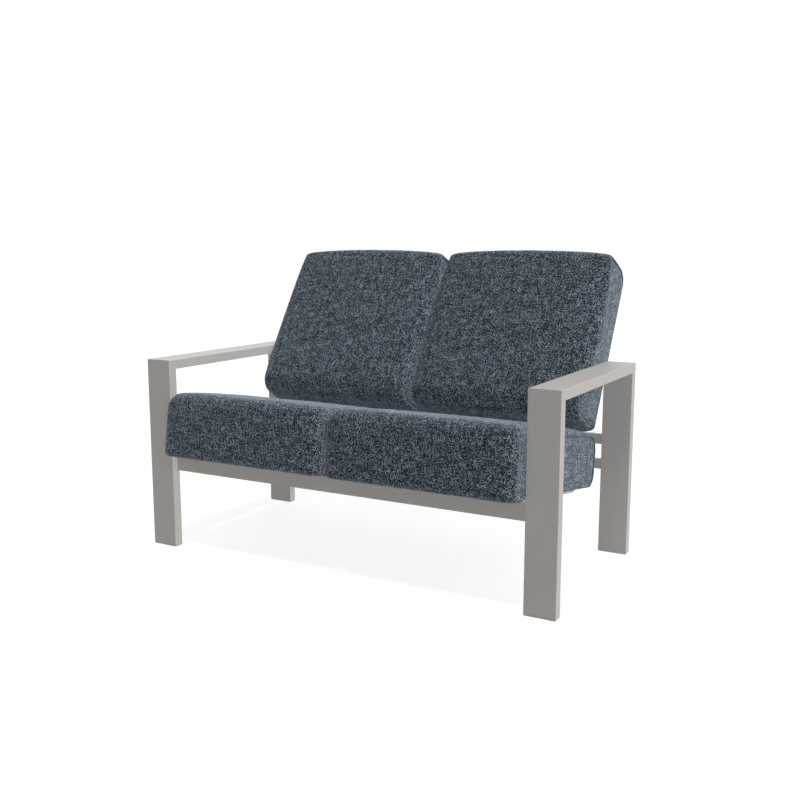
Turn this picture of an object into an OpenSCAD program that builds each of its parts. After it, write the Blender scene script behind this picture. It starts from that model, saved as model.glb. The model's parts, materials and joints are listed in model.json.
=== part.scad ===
// Outdoor deep-seating loveseat: a welded tube frame with four loose cushions.
// Millimetres, +Z up. Left (-X) and right (+X) are as seen from the front, and +Y is the back.

/* [Overall] */
// Overall width over both arm frames
frame_w = 1370; // [1250:10:1500]
// Depth of an arm frame, from the front of the front leg to the back of the rear leg
frame_d = 655; // [640:5:700]
// Height of the arm's top above the floor
arm_h = 601; // [560:1:660]

/* [Arm frames] */
// Width of the flat tube of legs and arms
tube_w = 90; // [70:1:110]
// Thickness of a leg tube, front to back
leg_t = 31; // [28:1:38]
// Thickness of an arm tube, top to bottom
arm_t = 29; // [24:1:36]
// Wall of the leg and arm tubes
tube_wall = 2.5; // [1.5:0.1:4]
// Radius of the tube's long edges
tube_edge_r = 1.6; // [0.8:0.1:3]

/* [Foot caps] */
// Height of the cap that shows below the leg tube
cap_h = 9; // [8:1:14]
// Radius of the cap's lower edges
cap_edge_r = 6; // [3:0.5:7]
// Depth of the cap's plug inside the leg tube
cap_plug_h = 22; // [12:1:35]
// Clearance between a plug and the inside of its tube
plug_gap = 0.2; // [0.1:0.05:0.4]

/* [Rails] */
// Height of the front rail
front_rail_h = 50; // [40:1:52]
// Underside of the front rail above the floor
front_rail_z = 250; // [235:1:255]
// Thickness of the front and rear rails, front to back
rail_t = 16; // [12:1:22]
// Height of each rear rail
rear_rail_h = 32; // [25:1:36]
// Underside of the lower rear rail above the floor
rear_low_z = 262; // [256:1:268]
// Underside of the upper rear rail above the floor
rear_high_z = 341; // [336:1:350]
// Wall of the rails, seat rails and uprights
rail_wall = 2; // [1.5:0.1:3]
// Size of the weld fillets where rails meet legs
weld_leg = 5; // [3:0.5:6]

/* [Seat support] */
// Pitch of the seat, down to the back, in degrees
seat_pitch = 9; // [7:0.5:11]
// Height of the seat plane over the front rail's top, at its front face
seat_rise = 5; // [4:0.5:10]
// Width and height of the square tube of seat rails and uprights
stock = 25; // [22:1:27]
// Distance from a leg's inner face to the outer face of the seat's side rail
side_rail_in = 72; // [55:1:95]
// Inner radius of the bend at the back of a seat rail
seat_bend_r = 35; // [30:1:38]
// Width of a slat
slat_w = 38; // [30:1:45]
// Thickness of a slat
slat_t = 5; // [3:0.5:7]
// Distance from the front rail's face to the middle of the first seat slat
seat_slat_first = 70; // [55:1:80]
// Distance from one seat slat to the next
seat_slat_step = 105; // [90:1:110]

/* [Back support] */
// Recline of the back from upright, in degrees
recline = 30; // [27:0.5:32]
// Height of the uprights' bend above the upper rear rail
upright_rise = 78; // [74:1:84]
// Radius of the uprights' bend, at their back face
upright_bend_r = 35; // [30:1:45]
// Length of the reclined stretch of an upright
upright_len = 345; // [330:5:360]
// Distance up the recline from the uprights' bend to the first back slat's middle
back_slat_first = 45; // [35:1:55]
// Distance from one back slat to the next
back_slat_step = 84; // [75:1:88]
// Depth of the plugs in the ends of the top rail
end_plug_h = 15; // [8:1:20]
// Thickness of a plug's head
end_plug_head = 2; // [1.5:0.5:4]

/* [Seat cushions] */
// Gap between an outer cushion side and the leg beside it
side_gap = 4.5; // [3:0.5:8]
// Gap between the two seat cushions, and between the two back cushions
mid_gap = 3; // [2:0.5:6]
// Gap between a cushion and what it rests on
rest_gap = 0.3; // [0.2:0.1:0.6]
// Overhang of the seat cushion in front of the front rail, along the seat
seat_overhang = 78; // [65:1:85]
// Gap between a seat cushion's back and the uprights
rear_gap = 6; // [5:0.5:14]
// Thickness of a seat cushion at its crown, at the front
seat_thick = 202; // [195:1:215]
// Amount that the crown is lower at the back, where the back cushion rests
seat_rear_drop = 34; // [20:1:36]
// Height of a seat cushion's side seam above its underside
seat_side_h = 160; // [150:1:165]
// Rise of a seat cushion's crown between its front and its back
seat_top_bow = 7; // [2:1:14]
// Distance that the seat cushion's side panel is set in from its front and back
seat_side_in = 28; // [20:1:36]

/* [Back cushions] */
// Height of a back cushion at its crown, along the recline
back_len = 571; // [540:1:575]
// Thickness of a back cushion low down, where it is fullest
back_thick = 168; // [160:1:180]
// Thickness of a back cushion at its top
back_top_t = 142; // [135:1:150]
// Depth of a back cushion's side panel low down, front to back
back_side_t = 141; // [130:1:150]
// Depth of the side panel at its top
back_side_top_t = 126; // [115:1:135]
// Depth that the panel's front seam draws in between its corners
back_side_draw = 7; // [2:1:15]
// Distance that the side panel is set in from the crown at the top, and at the bottom
back_side_top = 25; // [14:1:28]
back_side_foot = 17; // [12:1:24]

/* [All cushions] */
// Thickness of the cover and the fibre wrap sewn into it, around the foam core
wrap = 26; // [20:1:30]
// Gap between the wrap and the foam core
core_gap = 0.2; // [0.1:0.1:0.5]
// Bulge of the side panels over their seams
side_bulge = 2; // [1:0.5:4]
// Distance that a seat cushion narrows on each side towards its front and back
seat_end_draw = 3; // [1:0.5:6]
// Distance that a back cushion narrows on each side towards its top and bottom
back_end_draw = 15; // [8:0.5:18]
// Squareness of the cushions' side edges
pillow_power = 5.2; // [2.5:0.1:6]
// Length of a cushion's zip
zip_len = 380; // [300:10:450]
// Width of a zip
zip_w = 8; // [6:0.5:12]
// Thickness of a zip's tape
zip_t = 3; // [2:0.5:4]
// Depth of the groove that the zip lies in
zip_groove = 3.5; // [2.5:0.5:6]

/* [Hidden] */

frame_colour = "#b8b3ad";
fabric_colour = "#46525f";
foam_colour = "#e6dfc8";
zip_colour = "#2c333c";

$fn = 64;

// Places that follow from the sizes above
inner_x = frame_w / 2 - tube_w;
rail_len = 2 * inner_x;
side_rail_x = inner_x - side_rail_in;
front_rail_y = leg_t - rail_t;
rear_rail_y = frame_d - rail_t;
upright_y = rear_rail_y - stock;
seat_front_z = front_rail_z + front_rail_h + seat_rise;
seat_bend = [upright_y - seat_bend_r, seat_z(upright_y - seat_bend_r) + seat_bend_r / cos(seat_pitch)];
upright_bend = [rear_rail_y + upright_bend_r, rear_high_z + rear_rail_h + upright_rise];
back_reach = upright_bend_r + stock;
back_origin = upright_bend + back_reach * [-cos(recline), sin(recline)];
// Larger than the whole, for cuts that run out of it
far = 2 * frame_d;
// Flat steps in a bend of a seat rail and of an upright
seat_bend_steps = 12;
upright_bend_steps = 6;

// Height of the seat plane at a distance y behind the legs' front
function seat_z(y) = seat_front_z - (y - front_rail_y) * tan(seat_pitch);

// From seat coordinates [along, up] to [y, z], and from [y, z] to back coordinates [back, up]
function from_seat(p) = [front_rail_y + p[0] * cos(seat_pitch) + p[1] * sin(seat_pitch),
    seat_front_z - p[0] * sin(seat_pitch) + p[1] * cos(seat_pitch)];
function to_back(p) = let (d = p - back_origin)
    [d[0] * cos(recline) - d[1] * sin(recline), d[0] * sin(recline) + d[1] * cos(recline)];
function from_back(p) = back_origin
    + [p[0] * cos(recline) + p[1] * sin(recline), p[1] * cos(recline) - p[0] * sin(recline)];

// The two cushion forms. An outline is a list of corners [across, up, radius, bow of the next edge,
// points in that edge]
arc_steps = 6;
half_rings = 9;
// Powers of the bow of an edge, and of the draw of a cushion's sides towards its ends
bow_power = 2.4;
draw_power = 3;
// Inner ring of a side panel, as shares of the panel's size and of its bulge left to rise
panel_share = 0.6;
panel_rise = 0.3;
seat_len = seat_overhang
    + (upright_y - front_rail_y - rear_gap - seat_thick / 2 * sin(seat_pitch)) / cos(seat_pitch);
seat_zip_up = seat_side_h / 2;
back_zip_up = 60;
seat_s0 = -seat_overhang;
seat_s1 = seat_s0 + seat_len;
cushion_w = inner_x - side_gap - mid_gap / 2;
cushion_x = mid_gap / 2 + cushion_w / 2;

seat_crown = outline([
    [seat_s0, rest_gap, 20, 0, 6], [seat_s1, rest_gap, 52, 0, 2],
    [seat_s1, seat_thick - seat_rear_drop, 80, seat_top_bow, 8],
    [seat_s0, seat_thick - seat_top_bow / 2, 40, 0, 2]]);
seat_side = outline([
    [seat_s0 + seat_side_in, 4, 12, 0, 6], [seat_s1 - seat_side_in, 4, 34, 0, 2],
    [seat_s1 - seat_side_in, seat_side_h - 6, 42, 6, 8],
    [seat_s0 + seat_side_in, seat_side_h - 6, 24, 0, 2]]);

back_crown_0 = outline([
    [-back_thick, 0, 50, 0, 3], [-rest_gap, 0, 14, 0, 7],
    [-rest_gap, back_len - 4, 40, 4, 2], [-back_top_t, back_len - 4, 26, 0, 8]]);
back_side_0 = outline([
    [-back_side_t, back_side_foot, 36, 0, 3], [-5, back_side_foot, 14, 0, 7],
    [-5, back_len - back_side_top, 46, 0, 2],
    [-back_side_top_t, back_len - back_side_top, 10, -back_side_draw, 8]]);

// Share of a back cushion's crown that is an even arch across it at its top, and none at its foot
back_arch = 0.55;

// The back cushion comes down the recline until its underside rests on the seat cushion
rest_stations = [0, 0.3, 0.5, 0.7, 0.8, 0.9, 0.96, 1];
back_foot = rest_gap + max([for (f = rest_stations)
    let (below = section(back_crown_0, back_side_0, f, back_arch),
        under = [for (p = section(seat_crown, seat_side, f, 0)) to_back(from_seat(p))],
        reach = [min([for (p = below) p[0]]), max([for (p = below) p[0]])])
    each [for (p = concat(below, under)) if (p[0] >= reach[0] && p[0] <= reach[1])
        max(heights_at(under, p[0])) - min(heights_at(below, p[0]))]]);
back_crown = [for (p = back_crown_0) p + [0, back_foot]];
back_side = [for (p = back_side_0) p + [0, back_foot]];

// The whole is centred front to back
all_y = concat([0, frame_d, from_back([stock, upright_len + stock])[0]],
    [for (p = seat_crown) from_seat(p)[0]], [for (p = back_crown) from_back(p)[0]]);
centre_y = (min(all_y) + max(all_y)) / 2;

function unit(v) = v / norm(v);
function turn_of(a) = a > 180 ? a - 360 : a < -180 ? a + 360 : a;

// Points of the rounded corner c between the corners before and after it
function corner_arc(before, c, after, r) =
    let (u = unit(before - c), v = unit(after - c), half = acos(u * v) / 2,
        centre = c + unit(u + v) * r / sin(half),
        p = c + u * r / tan(half) - centre, q = c + v * r / tan(half) - centre,
        a = atan2(p[1], p[0]), turn = turn_of(atan2(q[1], q[0]) - a))
    [for (i = [0:arc_steps]) centre + r * [cos(a + turn * i / arc_steps), sin(a + turn * i / arc_steps)]];

// Points between the ends of an edge, bowed outwards
function edge_points(a, b, bow, parts) =
    let (d = unit(b - a))
    [for (i = [1:parts - 1]) let (f = (1 - cos(180 * i / parts)) / 2)
        a + (b - a) * f + [d[1], -d[0]] * bow * (1 - pow(abs(2 * f - 1), bow_power))];

function flat(c) = [c[0], c[1]];
function outline(corners) =
    let (n = len(corners),
        arcs = [for (i = [0:n - 1]) corner_arc(flat(corners[(i + n - 1) % n]), flat(corners[i]),
            flat(corners[(i + 1) % n]), corners[i][2])])
    [for (i = [0:n - 1])
        each concat(arcs[i],
            edge_points(arcs[i][arc_steps], arcs[(i + 1) % n][0], corners[i][3], corners[i][4]))];

// Heights at which an outline is crossed at a distance across
function heights_at(points, x) = [for (i = [0:len(points) - 1])
    let (a = points[i], b = points[(i + 1) % len(points)])
    if ((a[0] - x) * (b[0] - x) <= 0 && a[0] != b[0]) a[1] + (b[1] - a[1]) * (x - a[0]) / (b[0] - a[0])];

// A cushion's section at f of the way from its crown at 0 to a side seam at 1
function sunk(f, share) = share * f * f
    + (1 - share) * (1 - pow(max(0, 1 - pow(abs(f), pillow_power)), 1 / pillow_power));
function section(crown, side, f, arch) =
    let (low = min([for (p = side) p[1]]), high = max([for (p = side) p[1]]))
    [for (i = [0:len(side) - 1])
        crown[i] + (side[i] - crown[i]) * sunk(f, arch * (side[i][1] - low) / (high - low))];

// A cushion: sections from the crown outline to the side outline, closed by bulged side panels
module cushion_form(crown, side, arch, long_axis, end_draw) {
    half = cushion_w / 2;
    seam = half - side_bulge;
    n = len(crown);
    low = [for (k = [0, 1]) min([for (p = side) p[k]])];
    high = [for (k = [0, 1]) max([for (p = side) p[k]])];
    middle = (low + high) / 2;
    draw = [for (p = side)
        end_draw * pow(abs(p[long_axis] - middle[long_axis]) / (high - middle)[long_axis], draw_power)
            * (high[0] - p[0]) / (high[0] - low[0])];
    stations = [for (i = [-half_rings:half_rings]) sin(90 * i / half_rings)];
    rings = [for (f = stations) let (ring = section(crown, side, f, arch))
        [for (i = [0:n - 1]) [f * (seam - draw[i] * f * f), ring[i][0], ring[i][1]]]];
    panel = [for (p = side) middle + (p - middle) * panel_share];
    points = concat([[-half, middle[0], middle[1]]],
        [for (p = panel) [side_bulge * panel_rise - half, p[0], p[1]]],
        [for (r = rings) each r],
        [for (p = panel) [half - side_bulge * panel_rise, p[0], p[1]]], [[half, middle[0], middle[1]]]);
    bands = len(rings) + 1;
    faces = concat(
        [for (j = [0:n - 1]) [0, 1 + j, 1 + (j + 1) % n]],
        [for (i = [0:bands - 1], j = [0:n - 1])
            let (a = 1 + i * n + j, b = 1 + i * n + (j + 1) % n) each [[a, a + n, b + n], [a, b + n, b]]],
        [for (j = [0:n - 1])
            [1 + (bands + 1) * n, 1 + bands * n + (j + 1) % n, 1 + bands * n + j]]);
    polyhedron(points, faces, convexity = 4);
}

// Places a child drawn in seat coordinates: +Y rearwards along the seat plane, +Z square to it
module on_seat() {
    translate([0, front_rail_y, seat_front_z]) rotate([-seat_pitch, 0, 0]) children();
}

// Places a child drawn in back coordinates: +Z up the recline, -Y towards the sitter
module on_back() {
    translate([0, back_origin[0], back_origin[1]]) rotate([-recline, 0, 0]) children();
}

// Extrudes a side view, drawn as [y, z], from x0 over a width
module side_view(x0, width) {
    translate([x0, 0, 0]) rotate([90, 0, 90]) linear_extrude(width) children();
}

module rounded_rect(w, h, r) {
    translate([r, 0]) square([w - 2 * r, h]);
    translate([0, r]) square([w, h - 2 * r]);
    for (x = [r, w - r], y = [r, h - r]) translate([x, y]) circle(r);
}

// Section of a rectangular tube, from its lower left corner
module tube_section(w, h, wall, r) {
    difference() {
        rounded_rect(w, h, r);
        translate([wall, wall]) square([w - 2 * wall, h - 2 * wall]);
    }
}

// Points along a bend, from one angle to another
function bend_points(centre, r, a0, a1, steps) = [for (i = [0:steps])
    let (a = a0 + (a1 - a0) * i / steps) centre + r * [cos(a), sin(a)]];

module metal() {
    color(frame_colour) translate([0, -centre_y, 0]) children();
}

// Arm frames: a leg, an arm and a leg, each a flat tube cut to a mitre
module leg_tube(side, back) {
    x0 = side > 0 ? inner_x : -inner_x - tube_w;
    y0 = back ? frame_d - leg_t : 0;
    outer_y = back ? frame_d : 0;
    inner_y = back ? frame_d - leg_t : leg_t;
    metal() intersection() {
        translate([x0, y0, cap_h]) linear_extrude(arm_h - cap_h)
            tube_section(tube_w, leg_t, tube_wall, tube_edge_r);
        side_view(x0, tube_w)
            polygon([[outer_y, 0], [inner_y, 0], [inner_y, arm_h - arm_t], [outer_y, arm_h]]);
    }
}

module arm_tube(side) {
    x0 = side > 0 ? inner_x : -inner_x - tube_w;
    metal() intersection() {
        translate([x0, frame_d, arm_h - arm_t]) rotate([90, 0, 0]) linear_extrude(frame_d)
            tube_section(tube_w, arm_t, tube_wall, tube_edge_r);
        side_view(x0, tube_w)
            polygon([[0, arm_h], [leg_t, arm_h - arm_t], [frame_d - leg_t, arm_h - arm_t], [frame_d, arm_h]]);
    }
}

// Foot cap: a rounded foot below the leg tube and a plug inside it
module round_foot_outline(w) {
    translate([0, cap_edge_r]) square([w, cap_h - cap_edge_r]);
    translate([cap_edge_r, 0]) square([w - 2 * cap_edge_r, cap_edge_r]);
    for (x = [cap_edge_r, w - cap_edge_r]) translate([x, cap_edge_r]) circle(cap_edge_r);
}

module foot_cap(side, back) {
    x0 = side > 0 ? inner_x : -inner_x - tube_w;
    y0 = back ? frame_d - leg_t : 0;
    inset = tube_wall + plug_gap;
    metal() translate([x0, y0, 0]) {
        intersection() {
            linear_extrude(cap_h) rounded_rect(tube_w, leg_t, tube_edge_r);
            translate([0, leg_t, 0]) rotate([90, 0, 0]) linear_extrude(leg_t) round_foot_outline(tube_w);
            side_view(0, tube_w) round_foot_outline(leg_t);
        }
        translate([inset, inset, cap_h]) cube([tube_w - 2 * inset, leg_t - 2 * inset, cap_plug_h]);
    }
}

// Rails between the arm frames
module cross_rail(y0, z0, h) {
    metal() side_view(-inner_x, rail_len) translate([y0, z0]) tube_section(rail_t, h, rail_wall, tube_edge_r);
}

module front_rail() cross_rail(front_rail_y, front_rail_z, front_rail_h);

module rear_lower_rail() cross_rail(rear_rail_y, rear_low_z, rear_rail_h);

module rear_upper_rail() cross_rail(rear_rail_y, rear_high_z, rear_rail_h);

// Weld fillets around each rail's end: above it, below it and on its front
module weld_beads() {
    metal() for (side = [-1, 1], rail = [[front_rail_y, front_rail_z, front_rail_h],
        [rear_rail_y, rear_low_z, rear_rail_h], [rear_rail_y, rear_high_z, rear_rail_h]]) {
        x = side * inner_x;
        for (up = [-1, 1]) {
            z = up > 0 ? rail[1] + rail[2] : rail[1];
            translate([0, rail[0] + rail_t, 0]) rotate([90, 0, 0]) linear_extrude(rail_t - tube_edge_r)
                polygon([[x, z], [x - side * weld_leg, z], [x, z + up * weld_leg]]);
        }
        translate([0, 0, rail[1] + tube_edge_r]) linear_extrude(rail[2] - 2 * tube_edge_r)
            polygon([[x, rail[0]], [x - side * weld_leg, rail[0]], [x, rail[0] - weld_leg]]);
    }
}

// Side view of a seat rail, grown inwards by i, and past its upper end by over
module seat_rail_outline(i, over) {
    foot = -90 - seat_pitch;
    polygon(concat([from_seat([0, -i])],
        bend_points(seat_bend, seat_bend_r + i, foot, 0, seat_bend_steps),
        over > 0 ? [[upright_y + i, seat_bend[1] + over], [rear_rail_y - i, seat_bend[1] + over]] : [],
        bend_points(seat_bend, seat_bend_r + stock - i, 0, foot, seat_bend_steps),
        [from_seat([0, i - stock])]));
}

module seat_rail(x0) {
    metal() intersection() {
        difference() {
            side_view(x0, stock) seat_rail_outline(0, 0);
            side_view(x0 + rail_wall, stock - 2 * rail_wall) seat_rail_outline(rail_wall, 1);
        }
        translate([x0 - 1, leg_t, 0]) cube([stock + 2, far, far]);
    }
}

// Side view of an upright, grown inwards by i, and past its ends by over
module upright_outline(i, over) {
    top = upright_len + over;
    polygon(concat([[upright_y + i, seat_bend[1] - over]],
        bend_points(upright_bend, back_reach - i, 180, 180 - recline, upright_bend_steps),
        [from_back([i, top]), from_back([stock - i, top])],
        bend_points(upright_bend, upright_bend_r + i, 180 - recline, 180, upright_bend_steps),
        [[rear_rail_y - i, seat_bend[1] - over]]));
}

module upright(x0) {
    metal() difference() {
        side_view(x0, stock) upright_outline(0, 0);
        side_view(x0 + rail_wall, stock - 2 * rail_wall) upright_outline(rail_wall, 1);
    }
}

module back_top_rail() {
    metal() on_back() side_view(-side_rail_x, 2 * side_rail_x) translate([0, upright_len])
        tube_section(stock, stock, rail_wall, tube_edge_r);
}

module end_plugs() {
    inset = rail_wall + plug_gap;
    metal() on_back() for (side = [-1, 1]) mirror([side > 0 ? 0 : 1, 0, 0]) translate([0, 0, upright_len]) {
        side_view(side_rail_x, end_plug_head) rounded_rect(stock, stock, tube_edge_r);
        side_view(side_rail_x - end_plug_h, end_plug_h)
            translate([inset, inset]) square(stock - 2 * inset);
    }
}

// Slats, flush with the rails that they are welded between
module slat_at(side) {
    translate([side > 0 ? stock / 2 : stock - side_rail_x, 0, 0]) children();
}

slat_len = side_rail_x - stock * 3 / 2;

module seat_slat(side, i) {
    metal() on_seat() slat_at(side)
        translate([0, seat_slat_first + (i - 1) * seat_slat_step - slat_w / 2, -slat_t])
            cube([slat_len, slat_w, slat_t]);
}

module back_slat(side, i) {
    metal() on_back() slat_at(side)
        translate([0, 0, back_slat_first + (i - 1) * back_slat_step - slat_w / 2])
            cube([slat_len, slat_t, slat_w]);
}

// Cushions: a cover with the fibre wrap sewn into it, a foam core inside, and a zip in a groove of the cover
module cushion_place(side) {
    translate([side * cushion_x, -centre_y, 0]) children();
}

// Foam block of a cushion: a side view set in from the crown by inset, with rounded edges
module foam_block(corners, inset) {
    core_w = cushion_w - 2 * inset;
    side_view(-core_w / 2, core_w) polygon(outline(corners));
}

module seat_foam(grow) {
    inset = wrap - grow;
    front = seat_s0 + inset;
    rear = seat_s1 - inset;
    foam_block([[front, inset, 20, 0, 2], [rear, inset, 30, 0, 2],
        [rear, seat_thick - seat_rear_drop - inset, 50, 0, 2],
        [front, seat_thick - seat_top_bow / 2 - inset, 30, 0, 2]], inset);
}

module back_foam(grow) {
    inset = wrap - grow;
    foot = back_foot + inset;
    top = back_foot + back_len - inset;
    foam_block([[inset - back_thick, foot, 40, 0, 2], [-inset, foot, 20, 0, 2],
        [-inset, top, 40, 0, 2], [inset - back_top_t, top, 20, 0, 2]], inset);
}

// Places a zip's groove, with its opening towards +Z
module seat_zip_place() {
    translate([0, seat_s1, seat_zip_up]) rotate([-90, 0, 0]) children();
}

module back_zip_place() {
    translate([0, -rest_gap, back_foot + back_zip_up]) rotate([-90, 0, 0]) children();
}

module zip_tape() {
    translate([-zip_len / 2, -zip_w / 2, -zip_groove]) cube([zip_len, zip_w, zip_t]);
}

module zip_groove_cut() {
    translate([-zip_len / 2 - core_gap, -zip_w / 2 - core_gap, -zip_groove - core_gap])
        cube([zip_len + 2 * core_gap, zip_w + 2 * core_gap, 2 * zip_groove]);
}

module seat_cover(side) {
    color(fabric_colour) cushion_place(side) on_seat() difference() {
        cushion_form(seat_crown, seat_side, 0, 0, seat_end_draw);
        seat_foam(core_gap);
        seat_zip_place() zip_groove_cut();
    }
}

module seat_core(side) {
    color(foam_colour) cushion_place(side) on_seat() seat_foam(0);
}

module seat_zip(side) {
    color(zip_colour) cushion_place(side) on_seat() seat_zip_place() zip_tape();
}

module back_cover(side) {
    color(fabric_colour) cushion_place(side) on_back() difference() {
        cushion_form(back_crown, back_side, back_arch, 1, back_end_draw);
        back_foam(core_gap);
        back_zip_place() zip_groove_cut();
    }
}

module back_core(side) {
    color(foam_colour) cushion_place(side) on_back() back_foam(0);
}

module back_zip(side) {
    color(zip_colour) cushion_place(side) on_back() back_zip_place() zip_tape();
}

leg_tube(-1, false);  // left_front_leg
arm_tube(-1);  // left_arm
leg_tube(-1, true);  // left_rear_leg
leg_tube(1, false);  // right_front_leg
arm_tube(1);  // right_arm
leg_tube(1, true);  // right_rear_leg
foot_cap(-1, false);  // left_front_foot_cap
foot_cap(-1, true);  // left_rear_foot_cap
foot_cap(1, false);  // right_front_foot_cap
foot_cap(1, true);  // right_rear_foot_cap
front_rail();
rear_lower_rail();
rear_upper_rail();
seat_rail(-side_rail_x);  // left_seat_rail
seat_rail(-stock / 2);  // centre_seat_rail
seat_rail(side_rail_x - stock);  // right_seat_rail
upright(-side_rail_x);  // left_upright
upright(-stock / 2);  // centre_upright
upright(side_rail_x - stock);  // right_upright
back_top_rail();
seat_slat(-1, 1);  // left_seat_slat_1
seat_slat(-1, 2);  // left_seat_slat_2
seat_slat(-1, 3);  // left_seat_slat_3
seat_slat(-1, 4);  // left_seat_slat_4
seat_slat(-1, 5);  // left_seat_slat_5
seat_slat(1, 1);  // right_seat_slat_1
seat_slat(1, 2);  // right_seat_slat_2
seat_slat(1, 3);  // right_seat_slat_3
seat_slat(1, 4);  // right_seat_slat_4
seat_slat(1, 5);  // right_seat_slat_5
back_slat(-1, 1);  // left_back_slat_1
back_slat(-1, 2);  // left_back_slat_2
back_slat(-1, 3);  // left_back_slat_3
back_slat(-1, 4);  // left_back_slat_4
back_slat(1, 1);  // right_back_slat_1
back_slat(1, 2);  // right_back_slat_2
back_slat(1, 3);  // right_back_slat_3
back_slat(1, 4);  // right_back_slat_4
end_plugs();
weld_beads();
seat_cover(-1);  // left_seat_cover
seat_core(-1);  // left_seat_core
seat_zip(-1);  // left_seat_zip
seat_cover(1);  // right_seat_cover
seat_core(1);  // right_seat_core
seat_zip(1);  // right_seat_zip
back_cover(-1);  // left_back_cover
back_core(-1);  // left_back_core
back_zip(-1);  // left_back_zip
back_cover(1);  // right_back_cover
back_core(1);  // right_back_core
back_zip(1);  // right_back_zip
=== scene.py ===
# %% [markdown]
# # An outdoor loveseat
# The welded frame comes from CAD and stays as it is: it only gets its powder coat here.
# Four loose cushions, their foam, their zips and the weld beads are modelled below.

import json
import math

import bmesh
import bpy
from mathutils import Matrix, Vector, noise
from mathutils.bvhtree import BVHTree


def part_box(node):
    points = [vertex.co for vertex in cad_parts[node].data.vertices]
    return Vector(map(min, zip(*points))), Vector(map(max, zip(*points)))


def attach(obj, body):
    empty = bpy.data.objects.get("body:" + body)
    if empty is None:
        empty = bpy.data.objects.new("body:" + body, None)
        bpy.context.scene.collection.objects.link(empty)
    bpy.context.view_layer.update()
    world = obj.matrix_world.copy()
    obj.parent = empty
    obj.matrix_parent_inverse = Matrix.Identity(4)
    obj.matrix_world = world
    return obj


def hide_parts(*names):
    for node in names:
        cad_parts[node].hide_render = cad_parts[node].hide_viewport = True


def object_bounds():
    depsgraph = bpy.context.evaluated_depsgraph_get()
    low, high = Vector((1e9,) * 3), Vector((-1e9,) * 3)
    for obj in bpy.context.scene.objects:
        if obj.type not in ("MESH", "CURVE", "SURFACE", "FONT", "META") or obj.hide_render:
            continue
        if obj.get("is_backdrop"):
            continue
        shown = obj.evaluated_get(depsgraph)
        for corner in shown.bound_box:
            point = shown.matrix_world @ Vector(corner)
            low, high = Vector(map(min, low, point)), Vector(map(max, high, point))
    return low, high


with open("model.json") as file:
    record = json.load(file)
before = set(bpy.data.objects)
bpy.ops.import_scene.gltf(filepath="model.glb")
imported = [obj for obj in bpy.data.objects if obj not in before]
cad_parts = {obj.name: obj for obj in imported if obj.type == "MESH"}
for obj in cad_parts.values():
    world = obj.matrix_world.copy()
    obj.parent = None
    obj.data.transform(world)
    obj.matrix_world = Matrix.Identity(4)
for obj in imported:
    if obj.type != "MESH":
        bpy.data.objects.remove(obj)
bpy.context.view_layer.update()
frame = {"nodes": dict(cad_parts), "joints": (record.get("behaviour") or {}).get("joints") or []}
scene = bpy.context.scene
scene.view_settings.view_transform = "Standard"

# %% [markdown]
# ## Camera
# The straight edges of the legs and arms in the photograph gave the camera: a normal lens
# at about the height of a seated eye, past the loveseat's right end and turned back to it.

# %% Place the camera
PHOTO_SIDE = 800
FOCAL_PIXELS = 966.4
SENSOR_WIDTH = 36.0
CAMERA_PLACE = (1.489, -2.638, 0.956)
CAMERA_TURN = math.radians(29.28)
CAMERA_DIP = math.radians(9.12)

camera = bpy.data.objects.new("camera", bpy.data.cameras.new("camera"))
camera.data.sensor_width = SENSOR_WIDTH
camera.data.lens = FOCAL_PIXELS / PHOTO_SIDE * SENSOR_WIDTH
camera.location = CAMERA_PLACE
camera.rotation_euler = (math.pi / 2 - CAMERA_DIP, 0, CAMERA_TURN)
scene.collection.objects.link(camera)
scene.camera = camera
print("lens", round(camera.data.lens, 2), "mm")

# %% [markdown]
# ## Node helpers
# Every finish is a small network of nodes. Short helpers keep the cells below readable:
# the first adds a node and feeds its sockets, and the others use it for arithmetic, for
# mixed colours and for a smooth step.

# %% Helpers that add nodes
def add(tree, kind, sockets=(), **settings):
    """Adds a node, sets its properties, and sets or links its inputs by name or number."""
    made = tree.nodes.new(kind)
    for name, value in settings.items():
        setattr(made, name, value)
    for name, value in dict(sockets).items():
        if isinstance(value, bpy.types.NodeSocket):
            tree.links.new(value, made.inputs[name])
        else:
            made.inputs[name].default_value = value
    return made


def calc(tree, operation, *values):
    """One arithmetic step on sockets or numbers."""
    return add(tree, "ShaderNodeMath", dict(enumerate(values)), operation=operation).outputs[0]


def blend_colours(tree, share, first, second):
    """Mixes two colours by a share."""
    return add(tree, "ShaderNodeMix", {0: share, 6: first, 7: second}, data_type="RGBA").outputs[2]


def ramp_between(tree, value, low, high):
    """Goes smoothly from 0 at low to 1 at high, which may be the smaller of the two."""
    made = add(tree, "ShaderNodeMapRange", {0: value, 1: low, 2: high}, interpolation_type="SMOOTHSTEP")
    return made.outputs[0]


# %% [markdown]
# An effect that several materials share is a node group with named sockets: it is built
# once and gets its values in each material. The shader itself stays in the material.

# %% Helpers for groups and materials
FLOAT, COLOUR, VECTOR = "NodeSocketFloat", "NodeSocketColor", "NodeSocketVector"


def start_group(name, inputs, outputs):
    """Starts a shader node group; inputs give a socket type and a first value, outputs a type."""
    group = bpy.data.node_groups.new(name, "ShaderNodeTree")
    for socket, (kind, value) in inputs.items():
        made = group.interface.new_socket(name=socket, in_out="INPUT", socket_type=kind)
        if value is not None:
            made.default_value = value
    for socket, kind in outputs.items():
        group.interface.new_socket(name=socket, in_out="OUTPUT", socket_type=kind)
    return group, group.nodes.new("NodeGroupInput").outputs, group.nodes.new("NodeGroupOutput").inputs


def start_material(name):
    """An empty material with its Principled shader."""
    material = bpy.data.materials.new(name)
    material.use_nodes = True
    tree = material.node_tree
    return material, tree, tree.nodes["Principled BSDF"]


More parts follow.
